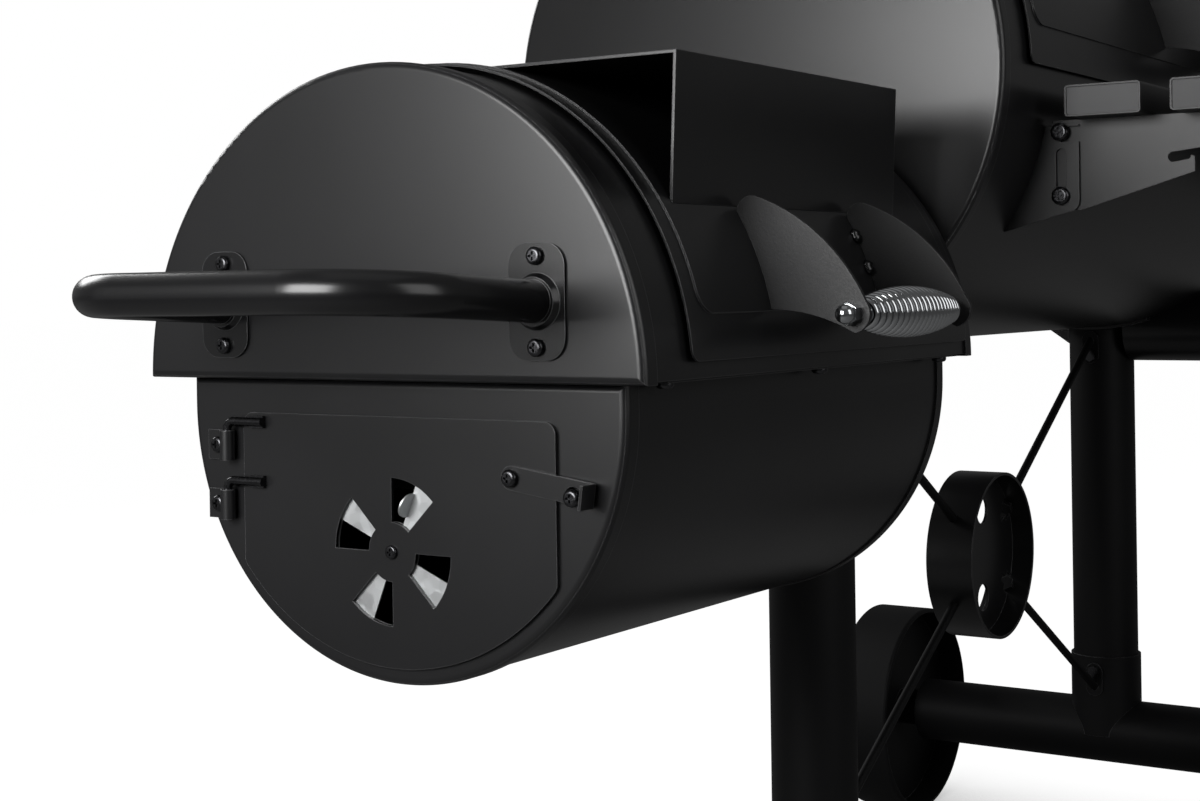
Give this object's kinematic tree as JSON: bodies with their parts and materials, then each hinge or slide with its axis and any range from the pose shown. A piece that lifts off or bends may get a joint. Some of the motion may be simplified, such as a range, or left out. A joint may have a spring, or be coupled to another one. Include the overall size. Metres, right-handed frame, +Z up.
{
  "type": "offset smoker",
  "caption": "Offset smoker: a round cooking barrel on two legs with a smaller firebox at its left end, hinged doors with spring handles, a chimney, a folding shelf and wheels.",
  "frame": {"origin": "middle of the footprint, on the floor", "axes": "+X from the firebox to the chimney, -Y to the front where the shelf is, +Z up"},
  "size_m": [1.7514, 0.7972, 1.3016],
  "materials": {
    "black_coat": "satin heat-resistant powder coat on sheet steel",
    "black_enamel": "semi-gloss black coat on tube, rod and screws",
    "chrome_wire": "bright chrome on steel wire and rod",
    "zinc_sheet": "galvanised steel sheet",
    "grate_iron": "as-cast, oiled",
    "plastic_cap": "moulded black plastic",
    "dial_case": "stamped stainless steel",
    "dial_glass": "flat clear glass",
    "needle_paint": "red paint on thin sheet",
    "wheel_coat": "satin black coat on pressed steel"
  },
  "bodies": {
    "chassis": {"main_barrel": "black_coat", "barrel_left_cap": "black_coat", "barrel_right_cap": "black_coat", "chimney": "black_coat", "pan_screws": "black_enamel", "grate_rails": "black_coat", "cooking_grates": "grate_iron", "charcoal_tray": "black_coat", "fixed_hinge_leaves": "black_coat", "hinge_pins": "zinc_sheet", "firebox_trough": "black_coat", "trough_left_cap": "black_coat", "trough_right_cap": "black_coat", "firebox_top": "black_coat", "top_left_cap": "black_coat", "top_right_cap": "black_coat", "firebox_grate": "grate_iron", "pull_handle": "black_enamel", "hinge_brackets": "black_coat", "left_leg": "black_enamel", "right_leg": "black_enamel", "leg_cradles": "black_coat", "leg_sockets": "black_enamel", "foot_tube": "black_enamel", "foot_pads": "plastic_cap", "axle_tube": "black_enamel", "axle_bolts": "black_enamel", "brace_ring": "black_coat", "brace_rods": "black_enamel", "brace_bolts": "black_enamel", "shelf_brackets": "black_coat"},
    "main_door": {"main_door": "black_coat", "main_wings": "black_coat", "main_grip_rod": "chrome_wire", "main_grip_spring": "chrome_wire", "main_grip_nuts": "chrome_wire", "main_door_leaves": "black_coat", "thermometer_case": "dial_case", "thermometer_glass": "dial_glass"},
    "needle": {"thermometer_needle": "needle_paint"},
    "firebox_door": {"firebox_door": "black_coat", "firebox_hood": "black_coat", "firebox_wings": "black_coat", "firebox_grip_rod": "chrome_wire", "firebox_grip_spring": "chrome_wire", "firebox_grip_nuts": "chrome_wire", "firebox_door_leaves": "black_coat"},
    "ash_door": {"ash_door": "black_coat", "door_pintles": "black_enamel", "door_screws": "black_enamel"},
    "latch": {"latch": "black_coat"},
    "vent_shutter": {"vent_shutter": "zinc_sheet"},
    "chimney_lid": {"chimney_lid": "black_coat"},
    "front_wheel": {"front_wheel": "wheel_coat"},
    "rear_wheel": {"rear_wheel": "wheel_coat"},
    "shelf": {"shelf_arms": "black_coat", "shelf_slats": "black_coat", "slat_plugs": "plastic_cap", "shelf_bolts": "black_enamel"}
  },
  "joints": [
    {"name": "main_door_hinge", "type": "hinge", "parent": "chassis", "child": "main_door", "pos_m": [0.25775, 0.18361, 1.06215], "axis": [-1, 0, 0], "range_deg": [0, 90]},
    {"name": "needle_turn", "type": "hinge", "parent": "main_door", "child": "needle", "pos_m": [0.25775, -0.06122, 1.02876], "axis": [0, 0.6157, -0.788], "range_deg": [0, 260], "stiffness_Nm_per_rad": 0.002},
    {"name": "firebox_door_hinge", "type": "hinge", "parent": "chassis", "child": "firebox_door", "pos_m": [-0.462, 0.17152, 0.80823], "axis": [-1, 0, 0], "range_deg": [0, 90]},
    {"name": "ash_door_hinge", "type": "hinge", "parent": "chassis", "child": "ash_door", "pos_m": [-0.70465, 0.22165, 0.5568], "axis": [0, 0, -1], "range_deg": [0, 110]},
    {"name": "latch_turn", "type": "hinge", "parent": "ash_door", "child": "latch", "pos_m": [-0.703, -0.01325, 0.5595], "axis": [-1, 0, 0], "range_deg": [0, 45]},
    {"name": "vent_turn", "type": "hinge", "parent": "ash_door", "child": "vent_shutter", "pos_m": [-0.6982, 0.08235, 0.5084], "axis": [1, 0, 0], "range_deg": [-20, 18]},
    {"name": "chimney_lid_turn", "type": "hinge", "parent": "chassis", "child": "chimney_lid", "pos_m": [0.83375, 0.03035, 1.2963], "axis": [0, 0, 1], "range_deg": [0, 90]},
    {"name": "shelf_fold", "type": "hinge", "parent": "chassis", "child": "shelf", "pos_m": [0.25775, -0.15315, 0.7426], "axis": [1, 0, 0], "range_deg": [0, 90]},
    {"name": "front_wheel_spin", "type": "hinge", "parent": "chassis", "child": "front_wheel", "pos_m": [0.64375, -0.19015, 0.127], "axis": [0, 1, 0], "continuous": true},
    {"name": "rear_wheel_spin", "type": "hinge", "parent": "chassis", "child": "rear_wheel", "pos_m": [0.64375, 0.35485, 0.127], "axis": [0, 1, 0], "continuous": true}
  ]
}
